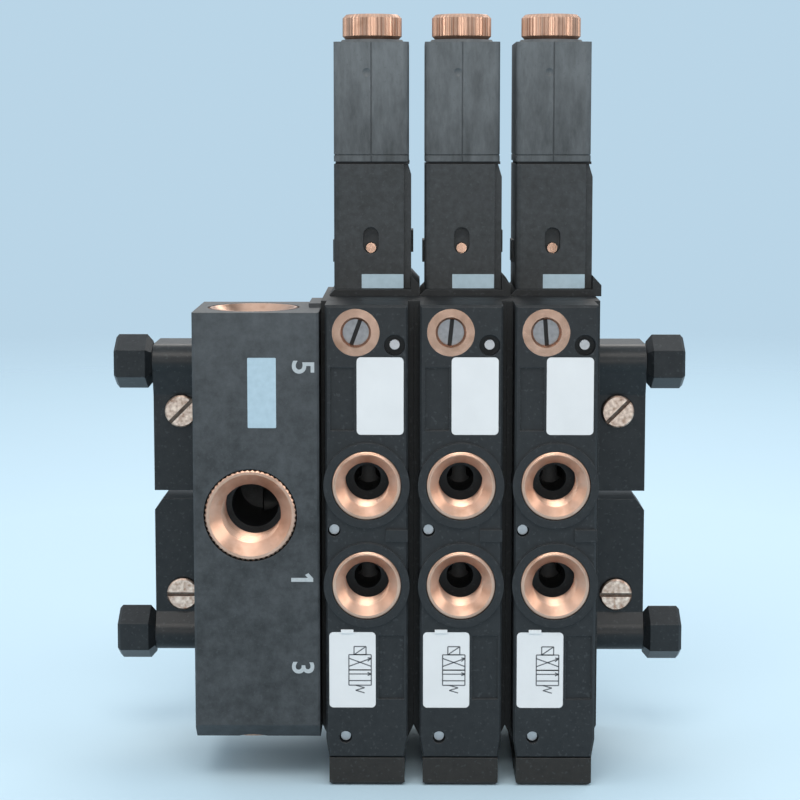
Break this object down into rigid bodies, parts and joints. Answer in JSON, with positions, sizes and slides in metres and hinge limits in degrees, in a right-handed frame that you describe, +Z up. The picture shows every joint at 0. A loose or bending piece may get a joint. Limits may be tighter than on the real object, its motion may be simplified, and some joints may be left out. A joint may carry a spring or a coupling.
{
  "type": "solenoid-piloted air valve island",
  "caption": "Row of ganged solenoid-piloted spool valves beside an inlet module, on rail brackets with clamp claws; brass ports face the front.",
  "frame": {"origin": "on the rail plane (the modules' flat backs), at the height of the end caps' undersides, in the middle of the row", "axes": "+Y points out of the back towards the rail, +Z up through the solenoids, +X along the row away from the inlet module"},
  "size_m": [0.116, 0.0454, 0.1489],
  "materials": {
    "body_polymer": "matt moulded black",
    "plate_polymer": "fine moulded texture, black",
    "cap_polymer": "matt moulded brown black",
    "inlet_polymer": "moulded black with a faint mottle",
    "bracket_polymer": "satin black",
    "coil_polymer": "matt dark grey",
    "connector_polymer": "matt grey",
    "marker_plastic": "matt off-white",
    "seal_rubber": "matt black",
    "brass": "turned, satin",
    "gland_brass": "knurled, satin",
    "screw_brass": "satin, slotted",
    "steel": "zinc plated",
    "spring_steel": "drawn wire",
    "machined_aluminium": "turned"
  },
  "bodies": {
    "valve_row": {"valve_body_1": "body_polymer", "port_plate_1": "plate_polymer", "end_cap_1": "cap_polymer", "pilot_adaptor_1": "body_polymer", "sleeve_1": "machined_aluminium", "return_spring_1": "spring_steel", "coil_housing_1": "coil_polymer", "connector_1": "connector_polymer", "armature_spring_1": "spring_steel", "valve_body_2": "body_polymer", "port_plate_2": "plate_polymer", "end_cap_2": "cap_polymer", "pilot_adaptor_2": "body_polymer", "sleeve_2": "machined_aluminium", "return_spring_2": "spring_steel", "coil_housing_2": "coil_polymer", "connector_2": "connector_polymer", "armature_spring_2": "spring_steel", "valve_body_3": "body_polymer", "port_plate_3": "plate_polymer", "end_cap_3": "cap_polymer", "pilot_adaptor_3": "body_polymer", "sleeve_3": "machined_aluminium", "return_spring_3": "spring_steel", "coil_housing_3": "coil_polymer", "connector_3": "connector_polymer", "armature_spring_3": "spring_steel", "port_inserts": "brass", "pilot_port_inserts": "brass", "pilot_port_plugs": "steel", "marker_plates": "marker_plastic", "plate_screws": "steel", "cap_screws": "steel", "gland_nuts": "gland_brass", "gland_grommets": "seal_rubber", "connector_gaskets": "seal_rubber", "module_seals": "seal_rubber", "gallery_plugs": "body_polymer", "inlet_body": "inlet_polymer", "inlet_port_inserts": "brass", "tie_rods": "steel", "tie_knobs": "bracket_polymer", "clamp_screws": "screw_brass", "rail_bracket_upper_left": "bracket_polymer", "rail_bracket_upper_right": "bracket_polymer", "rail_bracket_lower_left": "bracket_polymer", "rail_bracket_lower_right": "bracket_polymer"},
    "spool_1": {"spool_1": "machined_aluminium"},
    "override_button_1": {"override_button_1": "brass"},
    "armature_1": {"armature_1": "steel"},
    "spool_2": {"spool_2": "machined_aluminium"},
    "override_button_2": {"override_button_2": "brass"},
    "armature_2": {"armature_2": "steel"},
    "spool_3": {"spool_3": "machined_aluminium"},
    "override_button_3": {"override_button_3": "brass"},
    "armature_3": {"armature_3": "steel"},
    "rail_claw_upper_left": {"rail_claw_upper_left": "steel"},
    "rail_claw_upper_right": {"rail_claw_upper_right": "steel"},
    "rail_claw_lower_left": {"rail_claw_lower_left": "steel"},
    "rail_claw_lower_right": {"rail_claw_lower_right": "steel"}
  },
  "joints": [
    {"name": "spool_slide_1", "type": "slide", "parent": "valve_row", "child": "spool_1", "axis": [0, 0, 1], "range_m": [-0.0035, 0], "stiffness_N_per_m": 600, "springref_m": 0.002, "deforming": ["return_spring_1"]},
    {"name": "override_push_1", "type": "slide", "parent": "valve_row", "child": "override_button_1", "axis": [0, 1, 0], "range_m": [0, 0.0007], "stiffness_N_per_m": 200, "springref_m": -0.001},
    {"name": "armature_lift_1", "type": "slide", "parent": "valve_row", "child": "armature_1", "axis": [0, 0, 1], "range_m": [0, 0.0008], "stiffness_N_per_m": 500, "springref_m": -0.001, "deforming": ["armature_spring_1"]},
    {"name": "spool_slide_2", "type": "slide", "parent": "valve_row", "child": "spool_2", "axis": [0, 0, 1], "range_m": [-0.0035, 0], "stiffness_N_per_m": 600, "springref_m": 0.002, "deforming": ["return_spring_2"]},
    {"name": "override_push_2", "type": "slide", "parent": "valve_row", "child": "override_button_2", "axis": [0, 1, 0], "range_m": [0, 0.0007], "stiffness_N_per_m": 200, "springref_m": -0.001},
    {"name": "armature_lift_2", "type": "slide", "parent": "valve_row", "child": "armature_2", "axis": [0, 0, 1], "range_m": [0, 0.0008], "stiffness_N_per_m": 500, "springref_m": -0.001, "deforming": ["armature_spring_2"]},
    {"name": "spool_slide_3", "type": "slide", "parent": "valve_row", "child": "spool_3", "axis": [0, 0, 1], "range_m": [-0.0035, 0], "stiffness_N_per_m": 600, "springref_m": 0.002, "deforming": ["return_spring_3"]},
    {"name": "override_push_3", "type": "slide", "parent": "valve_row", "child": "override_button_3", "axis": [0, 1, 0], "range_m": [0, 0.0007], "stiffness_N_per_m": 200, "springref_m": -0.001},
    {"name": "armature_lift_3", "type": "slide", "parent": "valve_row", "child": "armature_3", "axis": [0, 0, 1], "range_m": [0, 0.0008], "stiffness_N_per_m": 500, "springref_m": -0.001, "deforming": ["armature_spring_3"]},
    {"name": "claw_slide_upper_left", "type": "slide", "parent": "valve_row", "child": "rail_claw_upper_left", "axis": [0, 1, 0], "range_m": [0, 0.002]},
    {"name": "claw_slide_upper_right", "type": "slide", "parent": "valve_row", "child": "rail_claw_upper_right", "axis": [0, 1, 0], "range_m": [0, 0.002]},
    {"name": "claw_slide_lower_left", "type": "slide", "parent": "valve_row", "child": "rail_claw_lower_left", "axis": [0, 1, 0], "range_m": [0, 0.002]},
    {"name": "claw_slide_lower_right", "type": "slide", "parent": "valve_row", "child": "rail_claw_lower_right", "axis": [0, 1, 0], "range_m": [0, 0.002]}
  ]
}
